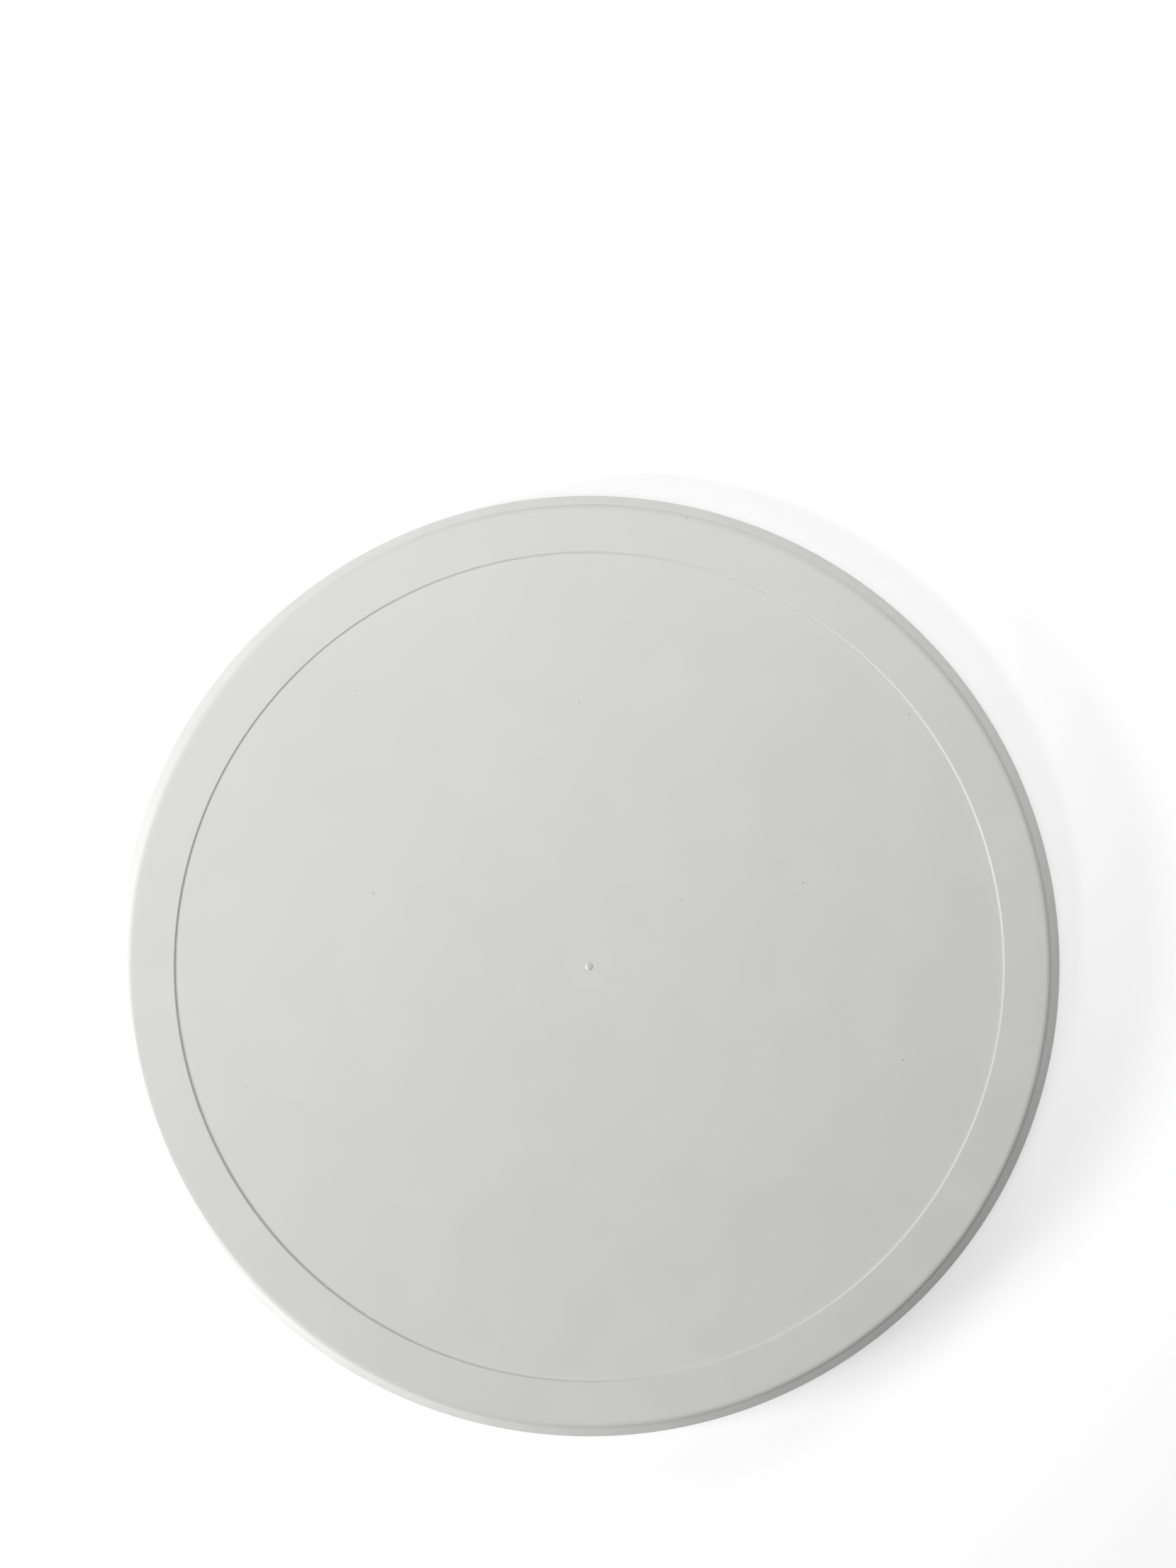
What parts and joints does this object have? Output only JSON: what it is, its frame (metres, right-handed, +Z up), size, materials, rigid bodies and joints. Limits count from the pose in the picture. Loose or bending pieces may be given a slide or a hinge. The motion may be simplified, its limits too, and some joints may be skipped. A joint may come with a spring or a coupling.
{
  "type": "lazy susan turntable",
  "caption": "Round white plastic turntable with a shallow recessed top, flat rim and drafted skirt, turning on a ball race over a low footed base.",
  "frame": {"origin": "centre of the surface that the feet stand on, below the middle of the plate", "axes": "+Z up, along the axis that the plate turns about; +X from the axis through ball_01 and foot_01; +Y completes a right-handed frame"},
  "size_m": [0.3, 0.3, 0.0261],
  "materials": {
    "white_plastic": "white satin moulded plastic, faintly warm, smooth with very fine surface noise",
    "base_plastic": "white moulded plastic with a fine matt texture",
    "cage_plastic": "natural off-white moulded plastic",
    "bush_plastic": "natural off-white low-friction plastic",
    "ball_steel": "polished hardened steel",
    "zinc_steel": "zinc-plated steel",
    "foot_rubber": "dark grey matt rubber"
  },
  "bodies": {
    "base": {"base_plate": "base_plastic", "pivot_bush": "bush_plastic", "wear_washer": "bush_plastic", "center_cap": "base_plastic", "foot_01": "foot_rubber", "foot_02": "foot_rubber", "foot_03": "foot_rubber", "foot_04": "foot_rubber", "foot_05": "foot_rubber", "foot_06": "foot_rubber"},
    "turntable": {"turntable_plate": "white_plastic", "retaining_washer": "zinc_steel", "center_screw": "zinc_steel"},
    "cage": {"ball_cage": "cage_plastic"},
    "rolling_ball_01": {"ball_01": "ball_steel"},
    "rolling_ball_02": {"ball_02": "ball_steel"},
    "rolling_ball_03": {"ball_03": "ball_steel"},
    "rolling_ball_04": {"ball_04": "ball_steel"},
    "rolling_ball_05": {"ball_05": "ball_steel"},
    "rolling_ball_06": {"ball_06": "ball_steel"},
    "rolling_ball_07": {"ball_07": "ball_steel"},
    "rolling_ball_08": {"ball_08": "ball_steel"},
    "rolling_ball_09": {"ball_09": "ball_steel"},
    "rolling_ball_10": {"ball_10": "ball_steel"},
    "rolling_ball_11": {"ball_11": "ball_steel"},
    "rolling_ball_12": {"ball_12": "ball_steel"}
  },
  "joints": [
    {"name": "turntable_spin", "type": "hinge", "parent": "base", "child": "turntable", "pos_m": [0, 0, 0.0189], "axis": [0, 0, 1], "continuous": true},
    {"name": "cage_spin", "type": "hinge", "parent": "base", "child": "cage", "pos_m": [0, 0, 0.0189], "axis": [0, 0, 1], "continuous": true},
    {"name": "ball_01_roll", "type": "hinge", "parent": "cage", "child": "rolling_ball_01", "pos_m": [0.075, 0, 0.0189], "axis": [1, 0, 0], "continuous": true},
    {"name": "ball_02_roll", "type": "hinge", "parent": "cage", "child": "rolling_ball_02", "pos_m": [0.06495, 0.0375, 0.0189], "axis": [0.866, 0.5, 0], "continuous": true},
    {"name": "ball_03_roll", "type": "hinge", "parent": "cage", "child": "rolling_ball_03", "pos_m": [0.0375, 0.06495, 0.0189], "axis": [0.5, 0.866, 0], "continuous": true},
    {"name": "ball_04_roll", "type": "hinge", "parent": "cage", "child": "rolling_ball_04", "pos_m": [0, 0.075, 0.0189], "axis": [0, 1, 0], "continuous": true},
    {"name": "ball_05_roll", "type": "hinge", "parent": "cage", "child": "rolling_ball_05", "pos_m": [-0.0375, 0.06495, 0.0189], "axis": [-0.5, 0.866, 0], "continuous": true},
    {"name": "ball_06_roll", "type": "hinge", "parent": "cage", "child": "rolling_ball_06", "pos_m": [-0.06495, 0.0375, 0.0189], "axis": [-0.866, 0.5, 0], "continuous": true},
    {"name": "ball_07_roll", "type": "hinge", "parent": "cage", "child": "rolling_ball_07", "pos_m": [-0.075, 0, 0.0189], "axis": [-1, 0, 0], "continuous": true},
    {"name": "ball_08_roll", "type": "hinge", "parent": "cage", "child": "rolling_ball_08", "pos_m": [-0.06495, -0.0375, 0.0189], "axis": [-0.866, -0.5, 0], "continuous": true},
    {"name": "ball_09_roll", "type": "hinge", "parent": "cage", "child": "rolling_ball_09", "pos_m": [-0.0375, -0.06495, 0.0189], "axis": [-0.5, -0.866, 0], "continuous": true},
    {"name": "ball_10_roll", "type": "hinge", "parent": "cage", "child": "rolling_ball_10", "pos_m": [0, -0.075, 0.0189], "axis": [0, -1, 0], "continuous": true},
    {"name": "ball_11_roll", "type": "hinge", "parent": "cage", "child": "rolling_ball_11", "pos_m": [0.0375, -0.06495, 0.0189], "axis": [0.5, -0.866, 0], "continuous": true},
    {"name": "ball_12_roll", "type": "hinge", "parent": "cage", "child": "rolling_ball_12", "pos_m": [0.06495, -0.0375, 0.0189], "axis": [0.866, -0.5, 0], "continuous": true}
  ],
  "couplings": [
    {"joint": "cage_spin", "follows": "turntable_spin", "ratio": 0.5},
    {"joint": "ball_01_roll", "follows": "turntable_spin", "ratio": -9.375},
    {"joint": "ball_02_roll", "follows": "turntable_spin", "ratio": -9.375},
    {"joint": "ball_03_roll", "follows": "turntable_spin", "ratio": -9.375},
    {"joint": "ball_04_roll", "follows": "turntable_spin", "ratio": -9.375},
    {"joint": "ball_05_roll", "follows": "turntable_spin", "ratio": -9.375},
    {"joint": "ball_06_roll", "follows": "turntable_spin", "ratio": -9.375},
    {"joint": "ball_07_roll", "follows": "turntable_spin", "ratio": -9.375},
    {"joint": "ball_08_roll", "follows": "turntable_spin", "ratio": -9.375},
    {"joint": "ball_09_roll", "follows": "turntable_spin", "ratio": -9.375},
    {"joint": "ball_10_roll", "follows": "turntable_spin", "ratio": -9.375},
    {"joint": "ball_11_roll", "follows": "turntable_spin", "ratio": -9.375},
    {"joint": "ball_12_roll", "follows": "turntable_spin", "ratio": -9.375}
  ]
}
